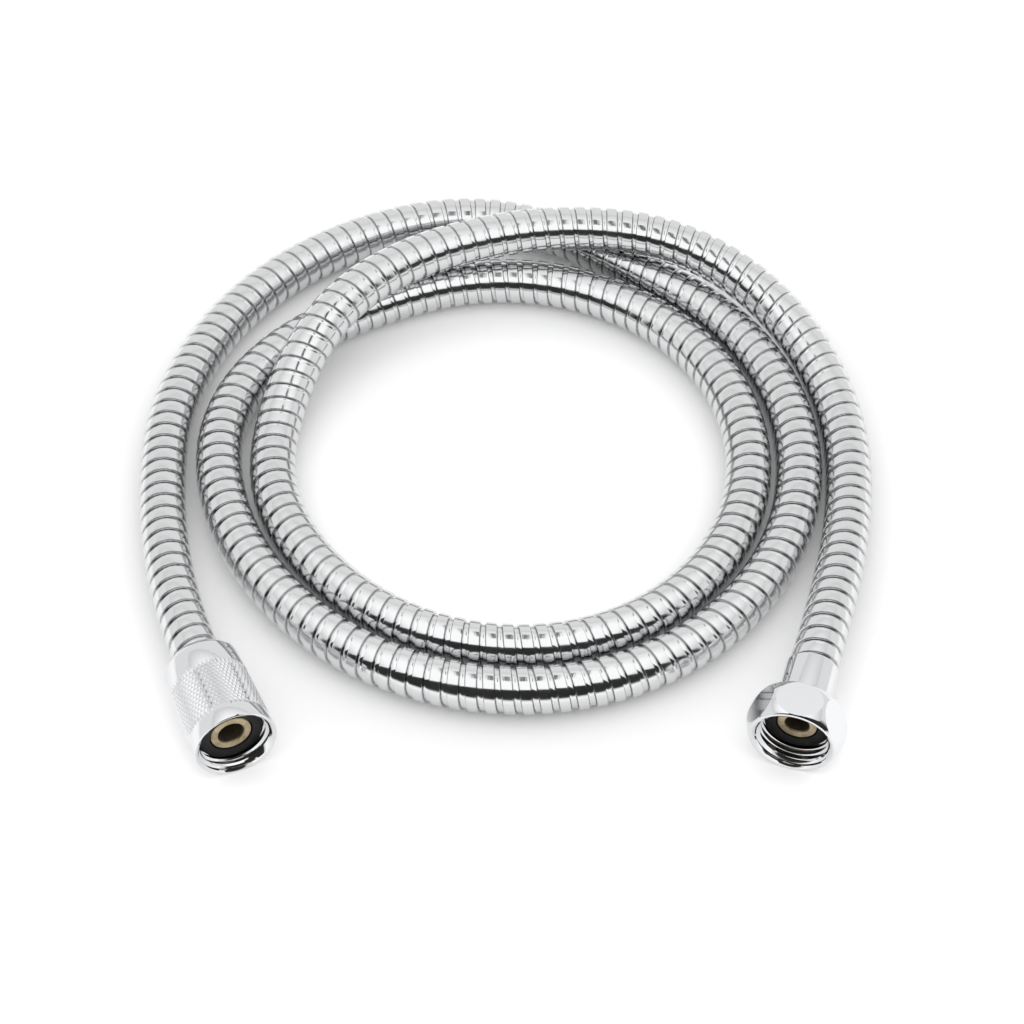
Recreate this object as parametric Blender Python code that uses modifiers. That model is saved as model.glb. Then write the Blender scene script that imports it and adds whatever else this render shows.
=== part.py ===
"""Flexible shower hose, laid in a ring on a flat surface, with a swivel nut on each end.

A hollow metal sheath runs over a smooth inner tube for two and a half turns, and both
ends come forward beside each other. One end has a long knurled cone nut, the other a
short hexagon nut with a plain crimp ferrule behind it. In each nut a rubber washer lies
on the flange of a bored insert, whose tail reaches into the inner tube.

Metres, +Z up. The ring's far side is at +Y and both nuts point towards -Y.
"""
from math import atan2, cos, pi, radians, sin, sqrt

import bmesh
import bpy
from mathutils import Matrix, Vector

MM = 0.001
GAP = 0.3 * MM

# Hose
HOSE_R = 6.8 * MM
SHEATH_WALL = 1.05 * MM
INNER_TUBE_R = HOSE_R - SHEATH_WALL - GAP
INNER_TUBE_WALL = 1.25 * MM
TUBE_BORE_R = INNER_TUBE_R - INNER_TUBE_WALL
TUBE_SIDES_STEP = 3

# Ring: radius of the innermost strand's centre line against azimuth, as a mean and
# three harmonics (cosine and sine), measured from the ring's own centre
RING_X = 1.85 * MM
RING_Y = 3.255 * MM
RING_MEAN = 71.2 * MM
RING_WAVES = ((-0.80 * MM, 0.42 * MM), (-1.04 * MM, -1.29 * MM), (-0.23 * MM, 0.33 * MM))
STRAND_STEP = 14.8 * MM

# Turning angle, in degrees, from the knurled end's leg to the hexagon end's leg
START_TURN = 178.0
END_TURN = -722.0
STEP_FAR = 12.0
STEP_NEAR = 15.0

# Where each pass changes its place in the ring, on the far side: start and stop azimuth
FIRST_PASS = (110.0, 52.0)
SECOND_PASS = (187.0, 106.0)
THIRD_PASS = (136.0, 4.0)
LIFT_UP = (189.0, 121.0)
LIFT_DOWN = (70.0, -4.0)
LIFT = 2.0 * HOSE_R + 0.42 * MM
SWING_IN = (204.0, 153.0, 102.0)
SWING = 0.19
START_SPREAD = 0.08
LAST_PLACE = 1.97

# Thread of both nuts, bored at its crests
THREAD_CREST_R = 9.316 * MM
MOUTH_R = 11.2 * MM
MOUTH_CHAMFER = 1.6 * MM

# Knurled cone nut
CONE_LENGTH = 31.5 * MM
CONE_FRONT_R = 11.7 * MM
CONE_BACK_R = 10.6 * MM
CONE_TAIL_R = 8.6 * MM
CONE_TAIL = 2.5 * MM
CONE_RIM = 0.5 * MM
CONE_THREAD_DEPTH = 13.0 * MM
CONE_NECK_R = 8.3 * MM
CONE_LIP = 2.0 * MM
CONE_LIP_R = HOSE_R + 0.5 * MM
CONE_MOUTH = (-73.8 * MM, -108.8 * MM)
CONE_HEADING = 22.5

# Hexagon nut
HEX_LENGTH = 11.7 * MM
HEX_FLAT_R = 12.0 * MM
HEX_BARREL_R = 13.6 * MM
HEX_END_R = 11.85 * MM
HEX_WALL = 1.9 * MM
HEX_MOUTH = (74.8 * MM, -108.5 * MM)
HEX_HEADING = -16.5

# Parts inside each end
WASHER_THICK = 2.0 * MM
WASHER_R = THREAD_CREST_R - GAP
FLANGE_R = THREAD_CREST_R - 1.2 * GAP
FLANGE_THICK = 1.1 * MM
TAIL_R = TUBE_BORE_R - 1.6 * GAP
TAIL_BORE_R = TAIL_R - 0.8 * MM
TAIL_LENGTH = 14.0 * MM
FERRULE_BORE_R = HOSE_R + 0.25 * MM
FERRULE_WEB = 2.2 * MM

CONE_WASHER_DEPTH = 3.8 * MM
CONE_SEAT_R = 6.05 * MM
CONE_BORE_R = 3.5 * MM
CONE_FERRULE_R = CONE_NECK_R - 1.4 * GAP
CONE_FERRULE_LENGTH = 14.0 * MM

HEX_FERRULE_R = FERRULE_BORE_R + 0.45 * MM
HEX_WASHER_DEPTH = HEX_LENGTH - HEX_WALL - 2 * GAP - FLANGE_THICK - WASHER_THICK
HEX_SEAT_R = 5.8 * MM
HEX_BORE_R = 3.2 * MM
HEX_HOLE_R = HEX_FERRULE_R + 0.4 * MM
HEX_FERRULE_LENGTH = 16.2 * MM

STEPS = 36
BARREL_STEPS = 48


def clear_scene():
    for obj in list(bpy.data.objects):
        bpy.data.objects.remove(obj, do_unlink=True)


def new_collection(name):
    coll = bpy.data.collections.new(name)
    bpy.context.scene.collection.children.link(coll)
    return coll


def new_material(name, color, metallic, roughness):
    mat = bpy.data.materials.new(name)
    mat.use_nodes = True
    shader = mat.node_tree.nodes["Principled BSDF"]
    shader.inputs["Base Color"].default_value = (*color, 1.0)
    shader.inputs["Metallic"].default_value = metallic
    shader.inputs["Roughness"].default_value = roughness
    mat.diffuse_color = (*color, 1.0)
    return mat


def ease(t):
    """Smooth step with no jump in slope or in bend at either end."""
    t = min(max(t, 0.0), 1.0)
    return t * t * t * (10.0 - 15.0 * t + 6.0 * t * t)


def passed(turn, span):
    """0 before the span of azimuths, 1 after it; the azimuth falls along the hose."""
    return ease((span[0] - turn) / (span[0] - span[1]))


def ring_radius(turn):
    a = radians(turn)
    r = RING_MEAN
    for order, (c, s) in enumerate(RING_WAVES, start=1):
        r += c * cos(order * a) + s * sin(order * a)
    return r


def ring_point(turn):
    """Centre line of the coiled stretch at a turning angle."""
    third = turn + 720.0
    place = 2.0 + START_SPREAD * (1.0 - passed(turn, (185.0, 150.0)))
    place -= passed(turn, FIRST_PASS)
    place -= passed(turn + 360.0, SECOND_PASS)
    place += LAST_PLACE * passed(third, THIRD_PASS)
    place -= SWING * (passed(third, SWING_IN[:2]) - passed(third, SWING_IN[1:]))
    lift = LIFT * (passed(third, LIFT_UP) - passed(third, LIFT_DOWN))
    r = ring_radius(turn) + place * STRAND_STEP
    a = radians(turn)
    return Vector((RING_X + r * cos(a), RING_Y + r * sin(a), HOSE_R + lift))


def ring_heading(turn):
    """Unit direction of the centre line there, the way the turning angle falls."""
    return (ring_point(turn - 0.5) - ring_point(turn + 0.5)).normalized()


def cone_tilt():
    """A cone nut lies on its side, so its axis rises towards its wider mouth."""
    run = CONE_LENGTH - CONE_TAIL - CONE_RIM
    return atan2(CONE_FRONT_R - CONE_BACK_R, run)


def end_frame(mouth, heading, tilt, height):
    """Frame of an end: origin at the mouth, local Z out of it, local Y upwards."""
    a = radians(heading)
    z = Vector((sin(a) * cos(tilt), -cos(a) * cos(tilt), sin(tilt)))
    x = Vector((cos(a), sin(a), 0.0))
    y = z.cross(x)
    frame = Matrix((x, y, z)).transposed().to_4x4()
    frame.translation = Vector((RING_X + mouth[0], RING_Y + mouth[1], height))
    return frame


def cone_frame():
    tilt = cone_tilt()
    height = CONE_FRONT_R / cos(tilt) + CONE_RIM * sin(tilt)
    return end_frame(CONE_MOUTH, CONE_HEADING, tilt, height)


def hex_frame():
    return end_frame(HEX_MOUTH, HEX_HEADING, 0.0, HEX_FLAT_R)


def axis_point(frame, depth):
    return frame @ Vector((0.0, 0.0, -depth))


def leg_points(start, way, end, end_way, count):
    """Points of a smooth cubic between the ring and an end, both ends left out."""
    span = (end - start).length
    points = []
    for i in range(1, count):
        t = i / count
        a = 2 * t**3 - 3 * t**2 + 1
        b = t**3 - 2 * t**2 + t
        c = -2 * t**3 + 3 * t**2
        d = t**3 - t**2
        points.append(start * a + way * span * b + end * c + end_way * span * d)
    return points


def turn_angles():
    """Turning angles of the points: closer together on the far side, where passes cross."""
    turn = START_TURN
    angles = [turn]
    while turn > END_TURN + 0.5:
        far = (turn - 0.01) % 360.0 < 180.0
        edge = 180.0 * int((turn - 0.01) // 180.0)
        turn = max(turn - (STEP_FAR if far else STEP_NEAR), edge, END_TURN)
        if turn - edge < 4.0:
            turn = max(edge, END_TURN)
        angles.append(turn)
    return angles


def route(cone_depth, hex_depth):
    """Centre line from inside the cone nut round the ring to inside the hexagon nut."""
    cone, hexa = cone_frame(), hex_frame()
    out_cone = cone.to_3x3() @ Vector((0.0, 0.0, 1.0))
    out_hex = hexa.to_3x3() @ Vector((0.0, 0.0, 1.0))
    cone_back = axis_point(cone, CONE_LENGTH + 1.5 * MM)
    hex_back = axis_point(hexa, HEX_LENGTH + HEX_FERRULE_LENGTH - HEX_WALL + 1.5 * MM)
    first, last = ring_point(START_TURN), ring_point(END_TURN)
    points = [axis_point(cone, cone_depth), cone_back]
    points += leg_points(cone_back, -out_cone, first, ring_heading(START_TURN), 6)
    points += [ring_point(turn) for turn in turn_angles()]
    points += leg_points(last, ring_heading(END_TURN), hex_back, out_hex, 6)
    points += [hex_back, axis_point(hexa, hex_depth)]
    return points


def hollow_tube(name, points, radius, wall, mat, coll):
    """A round curve without caps made a mesh, and its wall thickened inwards."""
    curve = bpy.data.curves.new(name, "CURVE")
    curve.dimensions = "3D"
    curve.bevel_depth = radius
    curve.bevel_resolution = TUBE_SIDES_STEP
    curve.use_fill_caps = False
    spline = curve.splines.new("POLY")
    spline.points.add(len(points) - 1)
    for point, co in zip(spline.points, points):
        point.co = (*co, 1.0)
    guide = bpy.data.objects.new(name + "_route", curve)
    coll.objects.link(guide)
    graph = bpy.context.evaluated_depsgraph_get()
    mesh = bpy.data.meshes.new_from_object(guide.evaluated_get(graph))
    bpy.data.objects.remove(guide, do_unlink=True)
    mesh.name = name
    obj = bpy.data.objects.new(name, mesh)
    coll.objects.link(obj)
    mesh.materials.clear()
    mesh.materials.append(mat)
    mesh.shade_smooth()
    shell = obj.modifiers.new("wall", "SOLIDIFY")
    shell.thickness = wall
    shell.offset = -1.0
    shell.use_even_offset = True
    return obj


def turned(name, profile, parent, mat, coll, steps=STEPS):
    """A turned ring from its profile of (radius, height) pairs, outer side first."""
    mesh = bpy.data.meshes.new(name)
    bm = bmesh.new()
    verts = [bm.verts.new((r, 0.0, z)) for r, z in profile]
    for i, vert in enumerate(verts):
        bm.edges.new((vert, verts[(i + 1) % len(verts)]))
    bm.to_mesh(mesh)
    bm.free()
    obj = bpy.data.objects.new(name, mesh)
    coll.objects.link(obj)
    obj.parent = parent
    mesh.materials.append(mat)
    screw = obj.modifiers.new("turn", "SCREW")
    screw.axis = "Z"
    screw.steps = steps
    screw.render_steps = steps
    screw.use_merge_vertices = True
    screw.merge_threshold = 0.00001
    screw.use_smooth_shade = True
    return obj


def end_empty(name, frame, coll):
    empty = bpy.data.objects.new(name, None)
    empty.empty_display_size = 0.01
    empty.matrix_world = frame
    coll.objects.link(empty)
    return empty


def mouth_and_bore(bottom):
    """Inner side of a nut, up from the end of its thread to its chamfered mouth."""
    slope = MOUTH_CHAMFER
    return [(THREAD_CREST_R, bottom), (THREAD_CREST_R, -slope), (MOUTH_R, 0.0)]


def knurled_nut(parent, mat, coll):
    back = -CONE_LENGTH
    lip = back + CONE_LIP
    profile = [
        (CONE_FRONT_R - 0.3 * MM, 0.0),
        (CONE_FRONT_R, -CONE_RIM),
        (CONE_BACK_R, back + CONE_TAIL),
        (CONE_TAIL_R, back),
        (CONE_LIP_R, back),
        (CONE_LIP_R, lip),
        (CONE_NECK_R, lip),
        (CONE_NECK_R, -CONE_THREAD_DEPTH),
    ]
    return turned("knurled_nut", profile + mouth_and_bore(-CONE_THREAD_DEPTH), parent, mat, coll)


def hex_barrel_profile():
    """Ball turned outside of the hexagon nut, which rounds its corners off to both ends."""
    half = HEX_LENGTH / 2
    drop = HEX_BARREL_R - HEX_END_R
    ball = (half * half + drop * drop) / (2 * drop)
    outside = []
    for i in range(9):
        z = -HEX_LENGTH * i / 8
        r = HEX_BARREL_R - ball + sqrt(ball * ball - (z + half) ** 2)
        outside.append((r, z))
    wall = -(HEX_LENGTH - HEX_WALL)
    inside = [(HEX_HOLE_R, -HEX_LENGTH), (HEX_HOLE_R, wall)]
    return outside + inside + mouth_and_bore(wall)


def hexagon_nut(parent, mat, coll, cutters):
    nut = turned("hex_nut", hex_barrel_profile(), parent, mat, coll, BARREL_STEPS)
    mesh = bpy.data.meshes.new("hexagon_bar")
    bm = bmesh.new()
    corner = HEX_FLAT_R / cos(pi / 6)
    bmesh.ops.create_cone(bm, cap_ends=True, segments=6, radius1=corner, radius2=corner,
                          depth=HEX_LENGTH * 2)
    bmesh.ops.rotate(bm, verts=bm.verts, cent=(0, 0, 0), matrix=Matrix.Rotation(pi / 6, 3, "Z"))
    low = min(v.co.y for v in bm.verts)
    if low < -HEX_FLAT_R * 1.01:
        bmesh.ops.rotate(bm, verts=bm.verts, cent=(0, 0, 0),
                         matrix=Matrix.Rotation(pi / 6, 3, "Z"))
    bm.to_mesh(mesh)
    bm.free()
    bar = bpy.data.objects.new("hexagon_bar", mesh)
    cutters.objects.link(bar)
    bar.parent = parent
    bar.location = (0.0, 0.0, -HEX_LENGTH / 2)
    bar.hide_render = True
    bar.display_type = "WIRE"
    cut = nut.modifiers.new("flats", "BOOLEAN")
    cut.operation = "INTERSECT"
    cut.solver = "EXACT"
    cut.object = bar
    return nut


def washer(name, depth, seat_r, parent, mat, coll):
    top, low = -depth, -depth - WASHER_THICK
    profile = [(WASHER_R, top), (WASHER_R, low), (seat_r, low), (seat_r, top)]
    return turned(name, profile, parent, mat, coll)


def insert(name, depth, seat_r, bore_r, parent, mat, coll):
    """Flanged insert: a spigot in the washer, the flange behind it, and a tail in the tube."""
    spigot_r = seat_r - GAP
    front = -depth - GAP
    flange = -depth - WASHER_THICK - GAP
    back = flange - FLANGE_THICK
    tail = back - TAIL_LENGTH
    profile = [
        (spigot_r, front), (spigot_r, flange),
        (FLANGE_R, flange), (FLANGE_R, back),
        (TAIL_R, back), (TAIL_R, tail),
        (TAIL_BORE_R, tail), (TAIL_BORE_R, back - 1.2 * MM),
        (bore_r, back), (bore_r, front),
    ]
    return turned(name, profile, parent, mat, coll)


def ferrule(name, depth, radius, length, parent, mat, coll):
    """Crimp ferrule: a web round the insert's tail and a sleeve over the sheath's end."""
    top, low = -depth, -depth - length
    web = top - FERRULE_WEB
    hole = TAIL_R + GAP
    profile = [
        (radius, top), (radius, low + 0.5 * MM), (radius - 0.2 * MM, low),
        (FERRULE_BORE_R, low), (FERRULE_BORE_R, web), (hole, web), (hole, top),
    ]
    return turned(name, profile, parent, mat, coll)


def ferrule_depth(washer_depth):
    return washer_depth + WASHER_THICK + FLANGE_THICK + 2 * GAP


def build():
    clear_scene()
    parts = new_collection("flexible_hose")
    cutters = new_collection("cutters")
    chrome = new_material("bright_chrome", (0.80, 0.81, 0.82), 1.0, 0.08)
    sheath_metal = new_material("wound_sheath_metal", (0.78, 0.79, 0.80), 1.0, 0.12)
    brass = new_material("dull_brass", (0.45, 0.36, 0.22), 1.0, 0.35)
    black_rubber = new_material("black_rubber", (0.02, 0.02, 0.02), 0.0, 0.6)
    tube_rubber = new_material("inner_tube_rubber", (0.05, 0.05, 0.05), 0.0, 0.55)

    cone_end = end_empty("knurled_end_axis", cone_frame(), parts)
    hex_end = end_empty("hex_end_axis", hex_frame(), parts)

    cone_ferrule = ferrule_depth(CONE_WASHER_DEPTH)
    hex_ferrule = ferrule_depth(HEX_WASHER_DEPTH)
    hose_ends = (cone_ferrule + FERRULE_WEB + GAP, hex_ferrule + FERRULE_WEB + GAP)
    points = route(*hose_ends)
    hollow_tube("outer_sheath", points, HOSE_R, SHEATH_WALL, sheath_metal, parts)
    hollow_tube("inner_tube", points, INNER_TUBE_R, INNER_TUBE_WALL, tube_rubber, parts)

    knurled_nut(cone_end, chrome, parts)
    washer("knurled_end_washer", CONE_WASHER_DEPTH, CONE_SEAT_R, cone_end, black_rubber, parts)
    insert("knurled_end_insert", CONE_WASHER_DEPTH, CONE_SEAT_R, CONE_BORE_R, cone_end,
           brass, parts)
    ferrule("knurled_end_ferrule", cone_ferrule, CONE_FERRULE_R, CONE_FERRULE_LENGTH, cone_end,
            chrome, parts)

    hexagon_nut(hex_end, chrome, parts, cutters)
    washer("hex_end_washer", HEX_WASHER_DEPTH, HEX_SEAT_R, hex_end, black_rubber, parts)
    insert("hex_end_insert", HEX_WASHER_DEPTH, HEX_SEAT_R, HEX_BORE_R, hex_end, brass, parts)
    ferrule("hex_end_ferrule", hex_ferrule, HEX_FERRULE_R, HEX_FERRULE_LENGTH, hex_end,
            chrome, parts)


build()
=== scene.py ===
from math import atan2, cos, pi, radians, sin, sqrt

import bmesh
import bpy
import numpy as np
from mathutils import Matrix, Vector


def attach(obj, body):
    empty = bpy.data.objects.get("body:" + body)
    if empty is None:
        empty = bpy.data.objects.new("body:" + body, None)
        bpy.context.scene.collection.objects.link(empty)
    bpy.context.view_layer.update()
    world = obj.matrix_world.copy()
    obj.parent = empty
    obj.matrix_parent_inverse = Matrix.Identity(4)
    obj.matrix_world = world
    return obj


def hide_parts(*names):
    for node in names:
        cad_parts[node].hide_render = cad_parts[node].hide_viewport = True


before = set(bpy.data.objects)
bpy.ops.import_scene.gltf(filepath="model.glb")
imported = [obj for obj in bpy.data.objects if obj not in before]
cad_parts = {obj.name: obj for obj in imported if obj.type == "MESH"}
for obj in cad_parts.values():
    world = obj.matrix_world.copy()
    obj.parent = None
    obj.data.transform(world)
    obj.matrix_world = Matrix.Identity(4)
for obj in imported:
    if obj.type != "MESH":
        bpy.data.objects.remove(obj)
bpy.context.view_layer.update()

MM = 0.001

# The ring that the hose lies in: its middle, its innermost centre line against azimuth, and
# the step from one strand to the next
HOSE_R = 6.8 * MM
RING_X = 1.85 * MM
RING_Y = 3.255 * MM
RING_MEAN = 71.2 * MM
RING_WAVES = ((-0.80 * MM, 0.42 * MM), (-1.04 * MM, -1.29 * MM), (-0.23 * MM, 0.33 * MM))
STRAND_STEP = 14.8 * MM

# The route, in degrees of azimuth that fall along the hose. It starts as the outermost of
# three strands, passes to the middle one and then the innermost, swings a little inwards, and
# crosses over the others to the outside again in a long low hump.
START_TURN = 178.0
END_TURN = -722.0
FIRST_PASS = (110.0, 52.0)
SECOND_PASS = (187.0, 106.0)
THIRD_PASS = (136.0, 4.0)
LIFT_UP = (189.0, 121.0)
LIFT_DOWN = (70.0, -4.0)
LIFT = 2.0 * HOSE_R + 0.42 * MM
SWING_IN = (204.0, 153.0, 102.0)
SWING = 0.19
START_SPREAD = 0.08
SPREAD_PASS = (185.0, 150.0)
LAST_PLACE = 1.97
ROUTE_STEP = 3.0
LEG_POINTS = 24
STRAIGHT_POINTS = 6
STRAIGHT_PAST = 1.5 * MM

# Strip-wound sheath. One pitch of its section, in mm, is a raised band and then a groove, as
# (place along the axis, radius).
TURN_LENGTH = 4.75
BAND_LENGTH = 3.05
SHEATH_SECTION = (
    (0.00, 5.95), (0.02, 6.66), (0.09, 6.77), (0.45, 6.80),
    (BAND_LENGTH - 0.45, 6.80), (BAND_LENGTH - 0.09, 6.77), (BAND_LENGTH - 0.02, 6.66),
    (BAND_LENGTH, 5.95), (BAND_LENGTH + 0.22, 6.12), (TURN_LENGTH - 0.22, 6.12),
)
PITCH = TURN_LENGTH * MM
RAISED_BAND = BAND_LENGTH / TURN_LENGTH
SHEATH_SIDES = 24
SHEATH_BORE_R = 5.70 * MM
# Radii between which the painted shade in the crevices fades into the strip's chrome
CREVICE_SHADE_R = (5.96 * MM, 6.04 * MM)

# Fittings. Their lengths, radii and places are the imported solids'. The thread's roots and
# run-in, the mouths' slope and the knurl are cut here only.
CLEARANCE = 0.3 * MM
THREAD_CREST_R = 9.316 * MM
THREAD_ROOT_R = 10.42 * MM
THREAD_PITCH = 1.814 * MM
THREAD_SIDES = 72
MOUTH_R = 11.2 * MM
MOUTH_SLOPE = 2.0
THREAD_RUN_IN = 0.62
CONE_LENGTH = 31.5 * MM
CONE_FRONT_R = 11.7 * MM
CONE_BACK_R = 10.6 * MM
CONE_TAIL_R = 8.6 * MM
CONE_TAIL = 2.5 * MM
CONE_RIM = 0.5 * MM
CONE_THREAD_DEPTH = 13.0 * MM
CONE_NECK_R = 8.3 * MM
CONE_LIP = 2.0 * MM
CONE_LIP_R = HOSE_R + 0.5 * MM
CONE_FERRULE_LENGTH = 14.0 * MM
CONE_MOUTH = (-73.8 * MM, -108.8 * MM)
CONE_HEADING = 22.5
KNURL_FRONT = 4.5 * MM
KNURL_BACK = 22.4 * MM
KNURL_STARTS = 56
KNURL_ROWS = 16
KNURL_DEPTH = 0.32 * MM
HEX_LENGTH = 11.7 * MM
HEX_FLAT_R = 12.0 * MM
HEX_BARREL_R = 13.6 * MM
HEX_END_R = 11.85 * MM
HEX_WALL = 1.9 * MM
HEX_STEPS = 120
BARREL_STEPS = 24
FLAT_BORDER = 0.14 * MM
HEX_MOUTH = (74.8 * MM, -108.5 * MM)
HEX_HEADING = -16.5
WASHER_THICK = 2.0 * MM
WASHER_R = THREAD_CREST_R - CLEARANCE
FLANGE_THICK = 1.1 * MM
FLANGE_R = THREAD_CREST_R - 0.36 * MM
FLANGE_GAP = 0.6 * MM
SPIGOT_SET_BACK = 0.3 * MM
TAIL_R = 3.72 * MM
TAIL_BORE_R = 2.92 * MM
TAIL_LENGTH = 14.0 * MM
FERRULE_BORE_R = HOSE_R + 0.25 * MM
FERRULE_WEB = 2.2 * MM
CONE_WASHER_DEPTH = 3.8 * MM
CONE_SEAT_R = 6.05 * MM
CONE_BORE_R = 3.5 * MM
HEX_FERRULE_R = FERRULE_BORE_R + 0.45 * MM
HEX_WASHER_DEPTH = HEX_LENGTH - HEX_WALL - FLANGE_GAP - FLANGE_THICK - WASHER_THICK
HEX_SEAT_R = 5.8 * MM
HEX_BORE_R = 3.2 * MM
HEX_HOLE_R = HEX_FERRULE_R + 0.4 * MM
HEX_FERRULE_LENGTH = 16.2 * MM
TURNED_STEPS = 96

# A wound surface is made of copies of a block of turns. Points nearer than a merge distance
# become one, and a point within CUT of a cut counts as on it.
BLOCK_TURNS = 8
WOUND_MERGE = 0.02 * MM
KNURL_MERGE = 0.01 * MM
MERGE = 0.002 * MM
CUT = 0.0005 * MM

# Viewpoint of the photograph
VIEW_ELEVATION = radians(49.07)
VIEW_DISTANCE = 0.8425
VIEW_FORWARD = 16.4 * MM
VIEW_CENTRE = Vector((RING_X, RING_Y - VIEW_FORWARD, 0.0))
VIEW_LENS = 101.65


def add_camera():
    data = bpy.data.cameras.new("viewpoint")
    data.sensor_width = 36.0
    data.lens = VIEW_LENS
    data.clip_start = 0.02
    data.clip_end = 20.0
    cam = bpy.data.objects.new("viewpoint", data)
    bpy.context.scene.collection.objects.link(cam)
    back = Vector((0.0, -cos(VIEW_ELEVATION), sin(VIEW_ELEVATION)))
    cam.location = VIEW_CENTRE + back * VIEW_DISTANCE
    cam.rotation_euler = (pi / 2 - VIEW_ELEVATION, 0.0, 0.0)
    bpy.context.scene.camera = cam


# Route of the hose

def ease(t):
    """Smooth step with no jump in slope or in bend at either end."""
    t = min(max(t, 0.0), 1.0)
    return t * t * t * (10.0 - 15.0 * t + 6.0 * t * t)


def passed(turn, span):
    """How far a turn has gone through a span of turns, eased from 0 to 1."""
    return ease((span[0] - turn) / (span[0] - span[1]))


def ring_radius(turn):
    """Radius of the innermost centre line, a circle with three slow waves."""
    a = radians(turn)
    r = RING_MEAN
    for order, (c, s) in enumerate(RING_WAVES, start=1):
        r += c * cos(order * a) + s * sin(order * a)
    return r


def ring_point(turn):
    """Point of the centre line. Its place counts strands outwards from the innermost."""
    third = turn + 720.0
    place = 2.0 + START_SPREAD * (1.0 - passed(turn, SPREAD_PASS))
    place -= passed(turn, FIRST_PASS)
    place -= passed(turn + 360.0, SECOND_PASS)
    place += LAST_PLACE * passed(third, THIRD_PASS)
    place -= SWING * (passed(third, SWING_IN[:2]) - passed(third, SWING_IN[1:]))
    lift = LIFT * (passed(third, LIFT_UP) - passed(third, LIFT_DOWN))
    r = ring_radius(turn) + place * STRAND_STEP
    a = radians(turn)
    return Vector((RING_X + r * cos(a), RING_Y + r * sin(a), HOSE_R + lift))


def ring_heading(turn):
    return (ring_point(turn - 0.5) - ring_point(turn + 0.5)).normalized()


def end_frame(mouth, heading, tilt, height):
    """Frame of an end: origin at the mouth, local Z out of it, local Y upwards."""
    a = radians(heading)
    z = Vector((sin(a) * cos(tilt), -cos(a) * cos(tilt), sin(tilt)))
    x = Vector((cos(a), sin(a), 0.0))
    y = z.cross(x)
    place = Matrix((x, y, z)).transposed().to_4x4()
    place.translation = Vector((RING_X + mouth[0], RING_Y + mouth[1], height))
    return place


def cone_frame():
    tilt = atan2(CONE_FRONT_R - CONE_BACK_R, CONE_LENGTH - CONE_TAIL - CONE_RIM)
    height = CONE_FRONT_R / cos(tilt) + CONE_RIM * sin(tilt)
    return end_frame(CONE_MOUTH, CONE_HEADING, tilt, height)


def hex_frame():
    return end_frame(HEX_MOUTH, HEX_HEADING, 0.0, HEX_FLAT_R)


CONE_END = cone_frame()
HEX_END = hex_frame()
CONE_HOSE_DEPTH = CONE_WASHER_DEPTH + WASHER_THICK + FLANGE_THICK + FLANGE_GAP + FERRULE_WEB + CLEARANCE
HEX_HOSE_DEPTH = HEX_WASHER_DEPTH + WASHER_THICK + FLANGE_THICK + FLANGE_GAP + FERRULE_WEB + CLEARANCE


def axis_point(place, depth):
    """Point on an end's axis at a depth behind its mouth."""
    return place @ Vector((0.0, 0.0, -depth))


def leg_points(start, way, end, end_way, count):
    """Smooth curve from one point and direction to another, without its two ends."""
    span = (end - start).length
    points = []
    for i in range(1, count):
        t = i / count
        a = 2 * t**3 - 3 * t**2 + 1
        b = t**3 - 2 * t**2 + t
        c = -2 * t**3 + 3 * t**2
        d = t**3 - t**2
        points.append(start * a + way * span * b + end * c + end_way * span * d)
    return points


def straight_points(start, end, count):
    return [start.lerp(end, i / count) for i in range(1, count)]


def hose_route():
    """Centre line from inside the cone nut, round the ring, to inside the hexagon nut."""
    out_cone = CONE_END.to_3x3() @ Vector((0.0, 0.0, 1.0))
    out_hex = HEX_END.to_3x3() @ Vector((0.0, 0.0, 1.0))
    cone_start = axis_point(CONE_END, CONE_HOSE_DEPTH)
    cone_back = axis_point(CONE_END, CONE_LENGTH + STRAIGHT_PAST)
    hex_back = axis_point(HEX_END, HEX_LENGTH + HEX_FERRULE_LENGTH - HEX_WALL + STRAIGHT_PAST)
    hex_end = axis_point(HEX_END, HEX_HOSE_DEPTH)
    first, last = ring_point(START_TURN), ring_point(END_TURN)
    points = [cone_start]
    points += straight_points(cone_start, cone_back, STRAIGHT_POINTS)
    points.append(cone_back)
    points += leg_points(cone_back, -out_cone, first, ring_heading(START_TURN), LEG_POINTS)
    turns = int((START_TURN - END_TURN) / ROUTE_STEP)
    for i in range(turns + 1):
        points.append(ring_point(START_TURN + (END_TURN - START_TURN) * i / turns))
    points += leg_points(last, ring_heading(END_TURN), hex_back, out_hex, LEG_POINTS)
    points.append(hex_back)
    points += straight_points(hex_back, hex_end, STRAIGHT_POINTS)
    points.append(hex_end)
    return points


# Meshes

def finish_mesh(name, bm, mat, place=None, sharp=40.0):
    """A closed mesh with its doubles merged, its faces outwards and its edges kept crisp."""
    bmesh.ops.remove_doubles(bm, verts=bm.verts, dist=MERGE)
    if place is not None:
        bmesh.ops.transform(bm, matrix=place, verts=bm.verts)
    bmesh.ops.recalc_face_normals(bm, faces=bm.faces)
    mesh = bpy.data.meshes.new(name)
    bm.to_mesh(mesh)
    bm.free()
    mesh.materials.append(mat)
    mesh.shade_smooth()
    mesh.set_sharp_from_angle(angle=radians(sharp))
    obj = bpy.data.objects.new(name, mesh)
    bpy.context.scene.collection.objects.link(obj)
    return obj


def add_line(bm, points):
    """A line of joined vertices from (radius, height) pairs, in the local XZ plane."""
    verts = [bm.verts.new((r, 0.0, z)) for r, z in points]
    edges = [bm.edges.new(pair) for pair in zip(verts, verts[1:])]
    return verts, edges


def spin_round(bm, geom, steps):
    """Turns a line once round the local Z axis and joins its ends."""
    bmesh.ops.spin(bm, geom=geom, cent=(0, 0, 0), axis=(0, 0, 1), dvec=(0, 0, 0),
                   angle=2 * pi, steps=steps, use_merge=True)


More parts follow.
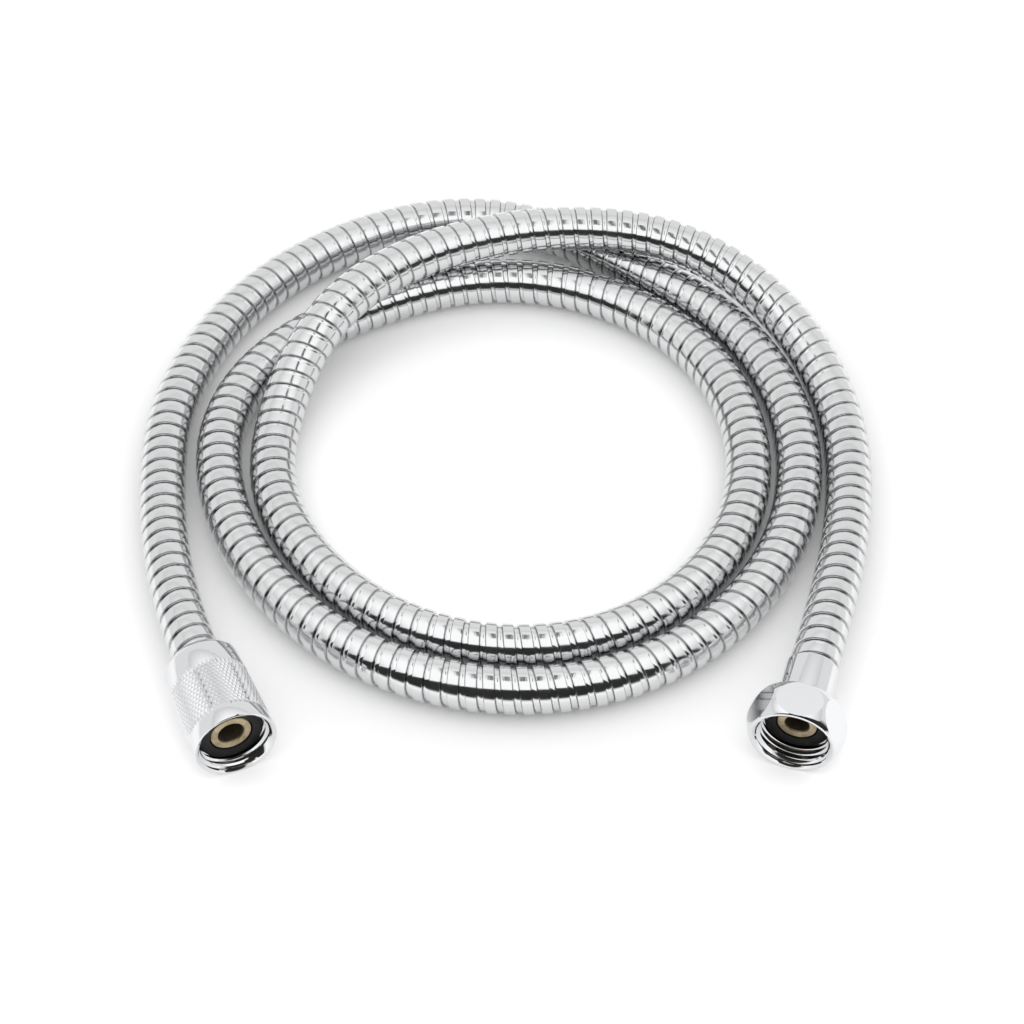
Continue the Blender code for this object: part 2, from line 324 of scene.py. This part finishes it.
def close_end(bm, height):
    """Fills the flat ring between the two open loops, outer and bore, that lie at a height."""
    open_edges = [e for e in bm.edges if e.is_boundary
                  and all(abs(v.co.z - height) < 1.5 * MERGE for v in e.verts)]
    bmesh.ops.triangle_fill(bm, edges=open_edges, use_beauty=True, use_dissolve=False)


def wind(bm, section, pitch, turns, sides, low, high):
    """A helical surface: a section of one pitch wound right-handed and cut flat at both ends.
    A few turns are wound once, and copies of them are set end to end."""
    block = bmesh.new()
    verts, edges = add_line(block, section)
    bmesh.ops.spin(block, geom=verts + edges, cent=(0, 0, 0), axis=(0, 0, 1),
                   dvec=(0, 0, pitch / sides), angle=2 * pi * BLOCK_TURNS,
                   steps=sides * BLOCK_TURNS, use_merge=False)
    bmesh.ops.remove_doubles(block, verts=block.verts, dist=WOUND_MERGE)
    wound = bpy.data.meshes.new("wound_block")
    block.to_mesh(wound)
    block.free()
    for _ in range(turns // BLOCK_TURNS + 1):
        bm.from_mesh(wound)
        wound.transform(Matrix.Translation((0.0, 0.0, pitch * BLOCK_TURNS)))
    bpy.data.meshes.remove(wound)
    bmesh.ops.remove_doubles(bm, verts=bm.verts, dist=WOUND_MERGE)
    for height, way in ((low, -1), (high, 1)):
        bmesh.ops.bisect_plane(bm, geom=bm.verts[:] + bm.edges[:] + bm.faces[:],
                               dist=CUT, plane_co=(0, 0, height),
                               plane_no=(0, 0, way), clear_outer=True)


def route_frames(points):
    """Length along the route and a frame at each point that doesn't twist round it."""
    co = np.array([tuple(p) for p in points])
    step = np.diff(co, axis=0)
    size = np.linalg.norm(step, axis=1)
    length = np.concatenate(([0.0], np.cumsum(size)))
    unit = step / size[:, None]
    along = np.vstack((unit[:1], unit[:-1] + unit[1:], unit[-1:]))
    along /= np.linalg.norm(along, axis=1)[:, None]
    side = np.zeros_like(along)
    side[0] = np.cross((0.0, 0.0, 1.0), along[0])
    side[0] /= np.linalg.norm(side[0])
    for i in range(1, len(along)):
        s = side[i - 1] - along[i] * np.dot(side[i - 1], along[i])
        side[i] = s / np.linalg.norm(s)
    return co, length, along, side, np.cross(along, side)


def bend_along(mesh, points):
    """Bends a straight mesh along the route. Each raised band keeps its width, and the
    grooves between open on the outside of a bend and close on the inside."""
    co, length, along, side, up = route_frames(points)
    turn = np.gradient(along, length, axis=0)
    flat = np.empty(len(mesh.vertices) * 3, dtype=np.float32)
    mesh.vertices.foreach_get("co", flat)
    x, y, z = flat.reshape(-1, 3).astype(float).T

    def at(values, where):
        return np.stack([np.interp(where, length, values[:, k]) for k in range(3)], axis=1)

    phase = np.arctan2(y, x) / (2 * pi)
    part = np.mod(z / PITCH - phase, 1.0)
    half = RAISED_BAND / 2
    from_mid = np.mod(part - half + 0.5, 1.0) - 0.5
    stretch = 1.0 - (at(turn, z) * (at(side, z) * x[:, None] + at(up, z) * y[:, None])).sum(axis=1)
    kept = np.clip(from_mid, -half, half) / stretch
    rest = 0.5 - half
    spare = (0.5 - half / stretch) / rest
    beyond = (from_mid - np.clip(from_mid, -half, half)) * spare
    wound = np.hypot(x, y) > SHEATH_BORE_R + 0.1 * MM
    z = np.where(wound, np.clip(z + (kept + beyond - from_mid) * PITCH, 0.0, length[-1]), z)
    out = at(co, z) + at(side, z) * x[:, None] + at(up, z) * y[:, None]
    straight = mesh.attributes.new("straight", "FLOAT_VECTOR", "POINT")
    straight.data.foreach_set("vector", flat)
    mesh.vertices.foreach_set("co", out.astype(np.float32).ravel())
    mesh.update()


def wound_sheath(mat):
    """The sheath, wound straight round a plain bore and then bent along the route."""
    points = hose_route()
    length = sum((b - a).length for a, b in zip(points, points[1:]))
    bm = bmesh.new()
    section = [(r * MM, z * MM) for z, r in SHEATH_SECTION]
    section.append((section[0][0], PITCH))
    section = [(r, z - PITCH) for r, z in section]
    turns = int(length / PITCH) + 3
    wind(bm, section, PITCH, turns, SHEATH_SIDES, 0.0, length)
    bore = bmesh.new()
    rings = int(length / PITCH)
    made = bmesh.ops.create_circle(bore, segments=SHEATH_SIDES, radius=SHEATH_BORE_R)
    geom = made["verts"] + bore.edges[:]
    bmesh.ops.spin(bore, geom=geom, cent=(0, 0, 0), axis=(0, 0, 1),
                   dvec=(0, 0, length / rings), angle=0.0, steps=rings)
    bore_mesh = bpy.data.meshes.new("bore")
    bore.to_mesh(bore_mesh)
    bore.free()
    bm.from_mesh(bore_mesh)
    bpy.data.meshes.remove(bore_mesh)
    for height in (0.0, length):
        close_end(bm, height)
    sheath = finish_mesh("wound_sheath", bm, mat, sharp=50.0)
    bend_along(sheath.data, points)
    return sheath, points, length


def turned(name, profile, mat, place, steps=TURNED_STEPS, sharp=40.0):
    """A turned ring from a closed profile of (radius, height) pairs."""
    bm = bmesh.new()
    verts, edges = add_line(bm, profile)
    edges.append(bm.edges.new((verts[-1], verts[0])))
    spin_round(bm, verts + edges, steps)
    return finish_mesh(name, bm, mat, place, sharp)


def thread_section():
    """One pitch of a pipe thread's bore, with narrow flats at crest and root."""
    p = THREAD_PITCH
    crest, root = THREAD_CREST_R, THREAD_ROOT_R
    flank = (crest + root) / 2
    return [(crest, 0.0), (crest, 0.12 * p), (flank, 0.29 * p), (root, 0.46 * p), (root, 0.66 * p),
            (flank, 0.83 * p), (crest, p)]


def add_thread(bm, depth):
    """The threaded bore from a depth up to the mouth, where a short chamfer opens it out and
    the thread starts shallow behind it."""
    turns = int(depth / THREAD_PITCH) + 4
    start = -depth - 1.5 * THREAD_PITCH
    section = [(r, z + start) for r, z in thread_section()]
    wind(bm, section, THREAD_PITCH, turns, THREAD_SIDES, -depth, 0.0)
    chamfer = (MOUTH_R - THREAD_ROOT_R) / MOUTH_SLOPE
    for vert in bm.verts:
        r = sqrt(vert.co.x ** 2 + vert.co.y ** 2)
        least = max(MOUTH_R + vert.co.z * MOUTH_SLOPE,
                    THREAD_ROOT_R + (vert.co.z + chamfer) * THREAD_RUN_IN)
        if r < least:
            vert.co.x *= least / r
            vert.co.y *= least / r


def close_nut(bm, depth):
    """Joins a nut's outer shell to the two ends of its thread."""
    for height in (0.0, -depth):
        close_end(bm, height)


def knurled_nut(mat, knurl_mat):
    """Long cone nut: a thread, a smooth collar, the knurled band, and a smooth tail."""
    bm = bmesh.new()
    add_thread(bm, CONE_THREAD_DEPTH)
    thread = set(bm.verts)

    def cone_r(depth):
        t = (depth - CONE_RIM) / (CONE_LENGTH - CONE_TAIL - CONE_RIM)
        return CONE_FRONT_R + (CONE_BACK_R - CONE_FRONT_R) * t

    front = [(MOUTH_R + 0.1 * MM, 0.0), (CONE_FRONT_R - 0.3 * MM, 0.0),
             (CONE_FRONT_R - 0.08 * MM, -0.12 * MM), (CONE_FRONT_R, -0.4 * MM),
             (cone_r(KNURL_FRONT), -KNURL_FRONT)]
    back = CONE_LENGTH
    rear = [(cone_r(KNURL_BACK), -KNURL_BACK),
            (cone_r(back - CONE_TAIL) + 0.02 * MM, -back + CONE_TAIL + 0.25 * MM),
            (cone_r(back - CONE_TAIL) - 0.12 * MM, -back + CONE_TAIL - 0.12 * MM),
            (CONE_TAIL_R + 0.2 * MM, -back + 0.14 * MM), (CONE_TAIL_R - 0.1 * MM, -back),
            (CONE_LIP_R + 0.15 * MM, -back), (CONE_LIP_R, -back + 0.15 * MM),
            (CONE_LIP_R, -back + CONE_LIP), (CONE_NECK_R, -back + CONE_LIP),
            (CONE_NECK_R, -CONE_THREAD_DEPTH)]
    steps = 2 * KNURL_STARTS
    for line in (front, rear):
        verts, edges = add_line(bm, line)
        spin_round(bm, verts + edges, steps)
    band = [(cone_r(d), -d) for d in
            [KNURL_FRONT + (KNURL_BACK - KNURL_FRONT) * i / KNURL_ROWS for i in range(KNURL_ROWS + 1)]]
    kept = set(bm.verts)
    verts, edges = add_line(bm, band)
    spin_round(bm, verts + edges, steps)
    lattice = [v for v in bm.verts if v not in kept]
    row = (KNURL_BACK - KNURL_FRONT) / KNURL_ROWS

    # Every second point of the lattice is pressed in, and the quads are split along the
    # valleys between those points, which leaves the others standing as the knurl.
    low = []
    for vert in lattice:
        j = round((-vert.co.z - KNURL_FRONT) / row)
        i = round(atan2(vert.co.y, vert.co.x) / (2 * pi) * steps)
        if (i + j) % 2 == 0:
            low.append(vert)
    bmesh.ops.connect_verts(bm, verts=low)
    for vert in low:
        if KNURL_FRONT + row / 2 < -vert.co.z < KNURL_BACK - row / 2:
            inwards = -Vector((vert.co.x, vert.co.y, 0.0)).normalized()
            vert.co += inwards * KNURL_DEPTH
    bmesh.ops.remove_doubles(bm, verts=[v for v in bm.verts if v not in thread], dist=KNURL_MERGE)
    close_nut(bm, CONE_THREAD_DEPTH)
    nut = finish_mesh("knurled_cone_nut", bm, mat, CONE_END, sharp=22.0)
    nut.data.materials.append(knurl_mat)
    back_to_end = CONE_END.inverted()
    for face in nut.data.polygons:
        at = back_to_end @ face.center
        if KNURL_FRONT < -at.z < KNURL_BACK and sqrt(at.x ** 2 + at.y ** 2) > THREAD_ROOT_R - 0.2 * MM:
            face.material_index = 1
    return nut


def hexagon_nut(mat):
    """Short nut: a thread in a turned barrel, whose six flats are cut and then closed."""
    bm = bmesh.new()
    add_thread(bm, HEX_LENGTH - HEX_WALL)
    half = HEX_LENGTH / 2
    drop = HEX_BARREL_R - HEX_END_R
    outside = [(MOUTH_R + 0.1 * MM, 0.0), (HEX_END_R - 0.35 * MM, 0.0), (HEX_END_R - 0.1 * MM, -0.08 * MM)]
    for i in range(1, BARREL_STEPS):
        z = -HEX_LENGTH * i / BARREL_STEPS
        outside.append((HEX_BARREL_R - drop * ((z + half) / half) ** 2, z))
    outside += [(HEX_END_R - 0.1 * MM, -HEX_LENGTH + 0.08 * MM), (HEX_END_R - 0.35 * MM, -HEX_LENGTH),
                (HEX_HOLE_R + 0.15 * MM, -HEX_LENGTH), (HEX_HOLE_R, -HEX_LENGTH + 0.15 * MM),
                (HEX_HOLE_R, -HEX_LENGTH + HEX_WALL)]
    thread = set(bm.verts)
    verts, edges = add_line(bm, outside)
    spin_round(bm, verts + edges, HEX_STEPS)
    for k in range(6):
        way = Vector((sin(k * pi / 3), -cos(k * pi / 3), 0.0))
        new = [v for v in bm.verts if v not in thread]
        faces = list({f for v in new for f in v.link_faces})
        edges = list({e for v in new for e in v.link_edges})
        cut = bmesh.ops.bisect_plane(bm, geom=new + edges + faces, dist=CUT,
                                     plane_co=way * HEX_FLAT_R, plane_no=way, clear_outer=True)
        rim = [e for e in cut["geom_cut"] if isinstance(e, bmesh.types.BMEdge) and e.is_boundary]
        filled = bmesh.ops.contextual_create(bm, geom=rim)["faces"]
        bmesh.ops.inset_region(bm, faces=filled, thickness=FLAT_BORDER, depth=0.0,
                               use_boundary=True, use_even_offset=True)
    close_nut(bm, HEX_LENGTH - HEX_WALL)
    return finish_mesh("hexagon_nut_turned", bm, mat, HEX_END, sharp=24.0)


def ferrule(name, depth, radius, length, mat, place):
    """Crimp ferrule: web, sleeve with a rolled rear edge, and a bore over the sheath."""
    top, low = -depth, -depth - length
    web = top - FERRULE_WEB
    hole = TAIL_R + CLEARANCE
    r = radius
    profile = [
        (r - 0.2 * MM, top), (r, top - 0.2 * MM), (r, low + 0.75 * MM),
        (r - 0.04 * MM, low + 0.45 * MM), (r - 0.14 * MM, low + 0.2 * MM), (r - 0.27 * MM, low + 0.04 * MM),
        (r - 0.36 * MM, low), (FERRULE_BORE_R, low + 0.1 * MM),
        (FERRULE_BORE_R, web), (hole, web), (hole, top),
    ]
    return turned(name, profile, mat, place)


def washer(name, depth, seat_r, mat, place):
    """Flat rubber washer with moulded, rounded edges."""
    top, low = -depth, -depth - WASHER_THICK
    edge = 0.28 * MM
    profile = [
        (WASHER_R, top - edge), (WASHER_R, low + edge), (WASHER_R - edge, low), (seat_r + edge, low),
        (seat_r, low + edge), (seat_r, top - 0.12 * MM), (seat_r + 0.12 * MM, top),
        (WASHER_R - edge, top), (WASHER_R - 0.3 * edge, top - 0.3 * edge),
    ]
    return turned(name, profile, mat, place, sharp=30.0)


def insert(name, depth, seat_r, bore_r, mat, bore_mat, place):
    """Turned insert: a spigot in the washer, a flange behind it, and a tail in the tube. Its
    bore is painted brown-black from just inside the spigot's chamfer: painted shade, with stain blotches."""
    spigot = seat_r - CLEARANCE
    front = -depth - SPIGOT_SET_BACK
    flange = -depth - WASHER_THICK - CLEARANCE
    back = flange - FLANGE_THICK
    tail = back - TAIL_LENGTH
    profile = [
        (spigot - 0.18 * MM, front), (spigot, front - 0.18 * MM), (spigot, flange),
        (FLANGE_R, flange), (FLANGE_R, back), (TAIL_R, back), (TAIL_R, tail),
        (TAIL_BORE_R, tail), (TAIL_BORE_R, back - 1.2 * MM), (bore_r, back),
        (bore_r, front - 0.45 * MM), (bore_r + 0.3 * MM, front),
    ]
    piece = turned(name, profile, mat, place)
    piece.data.materials.append(bore_mat)
    back_to_end = place.inverted()
    for face in piece.data.polygons:
        at = back_to_end @ face.center
        # Faces down the bore take the second material, its painted shade.
        if at.z < front - 0.3 * MM and sqrt(at.x ** 2 + at.y ** 2) < bore_r + 0.1 * MM:
            face.material_index = 1
    return piece


# Finishes

STRIP_CHROME = (0.68, 0.685, 0.69)
# Painted shade: the black that the crevices between the strip's turns are painted
CREVICE_PAINTED_SHADE = (0.03, 0.03, 0.03)
PLATED_CHROME = (0.69, 0.695, 0.705)
BRASS = (0.42, 0.34, 0.21)
BRASS_DARK = (0.34, 0.27, 0.16)
BRASS_LIGHT = (0.50, 0.42, 0.28)
# Painted shade down the inserts' bores, brown-black, with stain blotches between its dark and light tones
BORE_SHADE_STAIN = (0.05, 0.04, 0.025)
BORE_SHADE_STAIN_DARK = (0.03, 0.024, 0.015)
BORE_SHADE_STAIN_LIGHT = (0.09, 0.07, 0.04)
WASHER_BLACK = (0.009, 0.009, 0.010)
TUBE_BLACK = (0.04, 0.04, 0.042)


def new_material(name, color, metallic, roughness):
    mat = bpy.data.materials.new(name)
    mat.use_nodes = True
    shader = mat.node_tree.nodes["Principled BSDF"]
    shader.inputs["Base Color"].default_value = (*color, 1.0)
    shader.inputs["Metallic"].default_value = metallic
    shader.inputs["Roughness"].default_value = roughness
    return mat, mat.node_tree.nodes, mat.node_tree.links, shader


def noise_node(nodes, links, source, scale, detail=4.0, stretch=(1.0, 1.0, 1.0)):
    place = nodes.new("ShaderNodeMapping")
    place.inputs["Scale"].default_value = stretch
    links.new(source, place.inputs["Vector"])
    noise = nodes.new("ShaderNodeTexNoise")
    noise.inputs["Scale"].default_value = scale
    noise.inputs["Detail"].default_value = detail
    links.new(place.outputs["Vector"], noise.inputs["Vector"])
    return noise.outputs["Fac"]


def span_node(nodes, links, value, low, high, to_low, to_high):
    node = nodes.new("ShaderNodeMapRange")
    node.inputs["From Min"].default_value = low
    node.inputs["From Max"].default_value = high
    node.inputs["To Min"].default_value = to_low
    node.inputs["To Max"].default_value = to_high
    links.new(value, node.inputs["Value"])
    return node.outputs["Result"]


def blend_color(nodes, links, fac, one, two):
    node = nodes.new("ShaderNodeMix")
    node.data_type = "RGBA"
    node.inputs["A"].default_value = (*one, 1.0)
    node.inputs["B"].default_value = (*two, 1.0)
    links.new(fac, node.inputs["Factor"])
    return node.outputs["Result"]


def bump_node(nodes, links, height, distance, strength, below=None):
    node = nodes.new("ShaderNodeBump")
    node.inputs["Distance"].default_value = distance
    node.inputs["Strength"].default_value = strength
    links.new(height, node.inputs["Height"])
    if below is not None:
        links.new(below, node.inputs["Normal"])
    return node.outputs["Normal"]


def object_coordinates(nodes):
    return nodes.new("ShaderNodeTexCoord").outputs["Object"]


def math_node(nodes, links, operation, *values):
    node = nodes.new("ShaderNodeMath")
    node.operation = operation
    for socket, value in zip(node.inputs, values):
        links.new(value, socket)
    return node.outputs[0]


def length_of(nodes, links, vector):
    node = nodes.new("ShaderNodeVectorMath")
    node.operation = "LENGTH"
    links.new(vector, node.inputs[0])
    return node.outputs["Value"]


def sheath_chrome():
    """Chromed strip, drawn in fine lines round the hose, with painted shade, black, down in the crevices.
    """
    mat, nodes, links, shader = new_material("chromed_wound_strip", STRIP_CHROME, 1.0, 0.12)
    straight = nodes.new("ShaderNodeAttribute")
    straight.attribute_name = "straight"
    line = straight.outputs["Vector"]
    drawn = noise_node(nodes, links, line, scale=900.0, detail=3.0, stretch=(0.35, 0.35, 4.0))
    grain = bump_node(nodes, links, drawn, distance=0.03 * MM, strength=0.5)
    links.new(grain, shader.inputs["Normal"])
    patch = noise_node(nodes, links, line, scale=160.0, detail=3.0)
    links.new(span_node(nodes, links, patch, 0.3, 0.7, 0.09, 0.16), shader.inputs["Roughness"])
    across = nodes.new("ShaderNodeVectorMath")
    across.operation = "MULTIPLY"
    across.inputs[1].default_value = (1.0, 1.0, 0.0)
    links.new(line, across.inputs[0])
    radius = length_of(nodes, links, across.outputs["Vector"])
    # Painted shade: the strip's colour goes black down in the crevices, where shade falls.
    clear = span_node(nodes, links, radius, *CREVICE_SHADE_R, 0.0, 1.0)
    links.new(blend_color(nodes, links, clear, CREVICE_PAINTED_SHADE, STRIP_CHROME), shader.inputs["Base Color"])
    return mat


def bright_chrome(name, smooth, rough):
    """Plated nuts and ferrules: mirror bright, with faint waves under the plating."""
    mat, nodes, links, shader = new_material(name, PLATED_CHROME, 1.0, smooth)
    place = object_coordinates(nodes)
    wave = noise_node(nodes, links, place, scale=55.0, detail=2.0)
    fine = noise_node(nodes, links, place, scale=900.0, detail=3.0)
    under = bump_node(nodes, links, wave, distance=0.4 * MM, strength=0.08)
    over = bump_node(nodes, links, fine, distance=0.01 * MM, strength=0.08, below=under)
    links.new(over, shader.inputs["Normal"])
    links.new(span_node(nodes, links, fine, 0.3, 0.7, smooth, rough), shader.inputs["Roughness"])
    return mat


def dull_brass():
    """Turned insert: matt, brownish yellow, spotted and darker where it has tarnished."""
    mat, nodes, links, shader = new_material("dull_turned_brass", BRASS, 1.0, 0.4)
    place = object_coordinates(nodes)
    spots = noise_node(nodes, links, place, scale=420.0, detail=5.0)
    clean = span_node(nodes, links, spots, 0.35, 0.65, 0.0, 1.0)
    links.new(blend_color(nodes, links, clean, BRASS_DARK, BRASS_LIGHT), shader.inputs["Base Color"])
    links.new(span_node(nodes, links, spots, 0.3, 0.7, 0.5, 0.34), shader.inputs["Roughness"])
    fine = noise_node(nodes, links, place, scale=2200.0, detail=2.0)
    links.new(bump_node(nodes, links, fine, distance=0.02 * MM, strength=0.3), shader.inputs["Normal"])
    return mat


def bore_brass():
    """Inside of the inserts' bores: painted shade, brown-black, with blotches of stain where water has
    stood.
    """
    mat, nodes, links, shader = new_material("shaded_stained_bore", BORE_SHADE_STAIN, 0.4, 0.6)
    stain = noise_node(nodes, links, object_coordinates(nodes), scale=500.0)
    links.new(blend_color(nodes, links, stain, BORE_SHADE_STAIN_DARK, BORE_SHADE_STAIN_LIGHT), shader.inputs["Base Color"])
    links.new(span_node(nodes, links, stain, 0.3, 0.7, 0.5, 0.7), shader.inputs["Roughness"])
    return mat


def rubber(name, color):
    """Matt rubber with a faint grey bloom and a fine grain."""
    mat, nodes, links, shader = new_material(name, color, 0.0, 0.6)
    shader.inputs["Specular IOR Level"].default_value = 0.28
    place = object_coordinates(nodes)
    bloom = noise_node(nodes, links, place, scale=260.0)
    greyed = span_node(nodes, links, bloom, 0.3, 0.75, 0.0, 1.0)
    paler = tuple(c * 1.6 for c in color)
    links.new(blend_color(nodes, links, greyed, color, paler), shader.inputs["Base Color"])
    links.new(span_node(nodes, links, bloom, 0.3, 0.7, 0.5, 0.68), shader.inputs["Roughness"])
    grain = noise_node(nodes, links, place, scale=1800.0, detail=3.0)
    links.new(bump_node(nodes, links, grain, distance=0.03 * MM, strength=0.25), shader.inputs["Normal"])
    return mat


# Surroundings

# The lamp panel over the hose: half its sides, its glow in the middle and at the edges, and
# the spans across and along it where the glow fades
LAMP_HEIGHT = 0.31
LAMP_HALF = (0.44, 0.30)
LAMP_MIDDLE = 1.4
LAMP_EDGE = 0.86
LAMP_FADE_X = (0.16, 0.40)
LAMP_FADE_Y = (-0.02, 0.27)

# The dark card just under it: half its sides, how far behind the ring's middle it hangs, how
# far below the lamp, and its grey
CARD_HALF = (0.024, 0.07)
CARD_BEHIND = 0.012
CARD_BELOW_LAMP = 0.002
CARD_GREY = (0.16, 0.16, 0.16)

# The floor's white: how far it is lifted inside the ring, under it and outside it, and the
# distances from the middle over which one goes into the next. The lift under the ring is low,
# a painted shadow: a darker band on the floor round the hose.
FLOOR_WHITE = (0.97, 0.97, 0.97)
INNER_LIFT = 0.14
SHADOW_BAND_LIFT = 0.05
OUTER_LIFT = 0.30
INNER_EDGE = (0.054, 0.064)
OUTER_EDGE = (0.102, 0.155)

# The room: its level as a light, and the part of the sky that metal sees dark, as spans of a
# direction's Y and Z
ROOM_LEVEL = 0.76
DARK_FRONT = (-0.30, -0.42)
DARK_ABOVE = (0.06, 0.12)
ROOM_WHITE = (1.0, 1.0, 1.0)
ROOM_DARK = (0.03, 0.03, 0.03)


def seen_directly(nodes, links):
    """1 for what the camera sees, straight or in metal and glass, and 0 for what lights it."""
    path = nodes.new("ShaderNodeLightPath")
    value = path.outputs["Is Camera Ray"]
    for ray in ("Is Glossy Ray", "Is Transmission Ray"):
        value = math_node(nodes, links, "MAXIMUM", value, path.outputs[ray])
    return value


def white_floor():
    """White surface, seen a little lifted but lit and shadowed like any other, and lifted less in a band
    under the ring of hose, a painted shadow.
    """
    bm = bmesh.new()
    bmesh.ops.create_grid(bm, x_segments=2, y_segments=2, size=4.0)
    mesh = bpy.data.meshes.new("floor")
    bm.to_mesh(mesh)
    bm.free()
    floor = bpy.data.objects.new("floor", mesh)
    bpy.context.scene.collection.objects.link(floor)
    mat, nodes, links, shader = new_material("white_surface", FLOOR_WHITE, 0.0, 0.9)
    shader.inputs["Specular IOR Level"].default_value = 0.0
    shader.inputs["Emission Color"].default_value = (1.0, 1.0, 1.0, 1.0)
    far = length_of(nodes, links, object_coordinates(nodes))
    # Painted shadow: the lift drops from the inside of the ring to a low band under the hose, which darkens
    # the floor there.
    inner = span_node(nodes, links, far, *INNER_EDGE, INNER_LIFT, SHADOW_BAND_LIFT)
    outer = span_node(nodes, links, far, *OUTER_EDGE, 0.0, OUTER_LIFT)
    lift = math_node(nodes, links, "ADD", inner, outer)
    seen = math_node(nodes, links, "MULTIPLY", seen_directly(nodes, links), lift)
    links.new(seen, shader.inputs["Emission Strength"])
    mesh.materials.append(mat)


def soft_room():
    """White room, and in the metal's reflections the dark side that the camera stands on."""
    world = bpy.data.worlds.new("room")
    bpy.context.scene.world = world
    world.use_nodes = True
    nodes, links = world.node_tree.nodes, world.node_tree.links
    back = nodes["Background"]
    level = span_node(nodes, links, seen_directly(nodes, links), 0.0, 1.0, ROOM_LEVEL, 1.0)
    links.new(level, back.inputs["Strength"])
    coords = nodes.new("ShaderNodeTexCoord")
    parts = nodes.new("ShaderNodeSeparateXYZ")
    links.new(coords.outputs["Generated"], parts.inputs[0])
    front = span_node(nodes, links, parts.outputs["Y"], *DARK_FRONT, 0.0, 1.0)
    above = span_node(nodes, links, parts.outputs["Z"], *DARK_ABOVE, 0.0, 1.0)
    glossy = nodes.new("ShaderNodeLightPath").outputs["Is Glossy Ray"]
    dark = math_node(nodes, links, "MULTIPLY", front, above)
    dark = math_node(nodes, links, "MULTIPLY", dark, glossy)
    links.new(blend_color(nodes, links, dark, ROOM_WHITE, ROOM_DARK), back.inputs["Color"])


def hung_sheet(name, centre, half, mat):
    """A flat rectangle over the object, part of the set, which the camera itself doesn't see."""
    bm = bmesh.new()
    bmesh.ops.create_grid(bm, x_segments=1, y_segments=1, size=1.0)
    bmesh.ops.scale(bm, vec=(*half, 1.0), verts=bm.verts)
    bmesh.ops.translate(bm, vec=centre, verts=bm.verts)
    mesh = bpy.data.meshes.new(name)
    bm.to_mesh(mesh)
    bm.free()
    mesh.materials.append(mat)
    sheet = bpy.data.objects.new(name, mesh)
    bpy.context.scene.collection.objects.link(sheet)
    sheet.visible_camera = False
    sheet.visible_shadow = False
    return sheet


def lamp_diffuser():
    """Glow of the lamp panel, brightest in its middle and fading to its edges."""
    mat = bpy.data.materials.new("lamp_diffuser")
    mat.use_nodes = True
    nodes, links = mat.node_tree.nodes, mat.node_tree.links
    nodes.remove(nodes["Principled BSDF"])
    glow = nodes.new("ShaderNodeEmission")
    parts = nodes.new("ShaderNodeSeparateXYZ")
    links.new(object_coordinates(nodes), parts.inputs[0])
    aside = math_node(nodes, links, "ABSOLUTE", parts.outputs["X"])
    across = span_node(nodes, links, aside, *LAMP_FADE_X, 1.0, 0.0)
    along = span_node(nodes, links, parts.outputs["Y"], *LAMP_FADE_Y, 1.0, 0.0)
    both = math_node(nodes, links, "MULTIPLY", across, along)
    strength = span_node(nodes, links, both, 0.0, 1.0, LAMP_EDGE, LAMP_MIDDLE)
    links.new(strength, glow.inputs["Strength"])
    links.new(glow.outputs[0], nodes["Material Output"].inputs["Surface"])
    return mat


def lamp_panel():
    hung_sheet("lamp_panel", (RING_X, RING_Y, LAMP_HEIGHT), LAMP_HALF, lamp_diffuser())


def dark_card():
    """Small dark card under the lamp, there only for the dark mark it leaves in the metal."""
    mat = new_material("dark_card_paper", CARD_GREY, 0.0, 0.9)[0]
    centre = (RING_X, RING_Y + CARD_BEHIND, LAMP_HEIGHT - CARD_BELOW_LAMP)
    card = hung_sheet("dark_card", centre, CARD_HALF, mat)
    card.visible_diffuse = False
    card.visible_transmission = False


scene = bpy.context.scene
scene.view_settings.view_transform = "Standard"
add_camera()

sheath_finish = sheath_chrome()
chrome = bright_chrome("bright_plated_chrome", smooth=0.05, rough=0.09)
knurl_chrome = bright_chrome("knurled_chrome", smooth=0.15, rough=0.24)
brass = dull_brass()
black_rubber = rubber("black_washer_rubber", WASHER_BLACK)
bore_shade_and_stain = bore_brass()
tube_rubber = rubber("inner_tube_rubber_grain", TUBE_BLACK)

sheath, hose_points, hose_length = wound_sheath(sheath_finish)
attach(sheath, "hose")
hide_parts("outer_sheath")

cone_nut = knurled_nut(chrome, knurl_chrome)
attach(cone_nut, "cone_nut")
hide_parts("knurled_nut")

hex_nut = hexagon_nut(chrome)
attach(hex_nut, "hexagon_nut")
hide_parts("hex_nut")

cone_ferrule_depth = CONE_HOSE_DEPTH - FERRULE_WEB - CLEARANCE
hex_ferrule_depth = HEX_HOSE_DEPTH - FERRULE_WEB - CLEARANCE
fittings = {
    "knurled_end_ferrule": ferrule("cone_end_crimp_ferrule", cone_ferrule_depth,
                                   CONE_NECK_R - 0.42 * MM, CONE_FERRULE_LENGTH, chrome, CONE_END),
    "hex_end_ferrule": ferrule("hexagon_end_crimp_ferrule", hex_ferrule_depth, HEX_FERRULE_R,
                               HEX_FERRULE_LENGTH, chrome, HEX_END),
    "knurled_end_washer": washer("cone_end_rubber_washer", CONE_WASHER_DEPTH, CONE_SEAT_R,
                                 black_rubber, CONE_END),
    "hex_end_washer": washer("hexagon_end_rubber_washer", HEX_WASHER_DEPTH, HEX_SEAT_R,
                             black_rubber, HEX_END),
    "knurled_end_insert": insert("cone_end_brass_insert", CONE_WASHER_DEPTH, CONE_SEAT_R,
                                 CONE_BORE_R, brass, bore_shade_and_stain, CONE_END),
    "hex_end_insert": insert("hexagon_end_brass_insert", HEX_WASHER_DEPTH, HEX_SEAT_R,
                             HEX_BORE_R, brass, bore_shade_and_stain, HEX_END),
}
for node, piece in fittings.items():
    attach(piece, "hose")
    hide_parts(node)

tube = bpy.data.objects["inner_tube"]
for material_slot in tube.material_slots:
    material_slot.material = tube_rubber

white_floor()
soft_room()
lamp_panel()
dark_card()
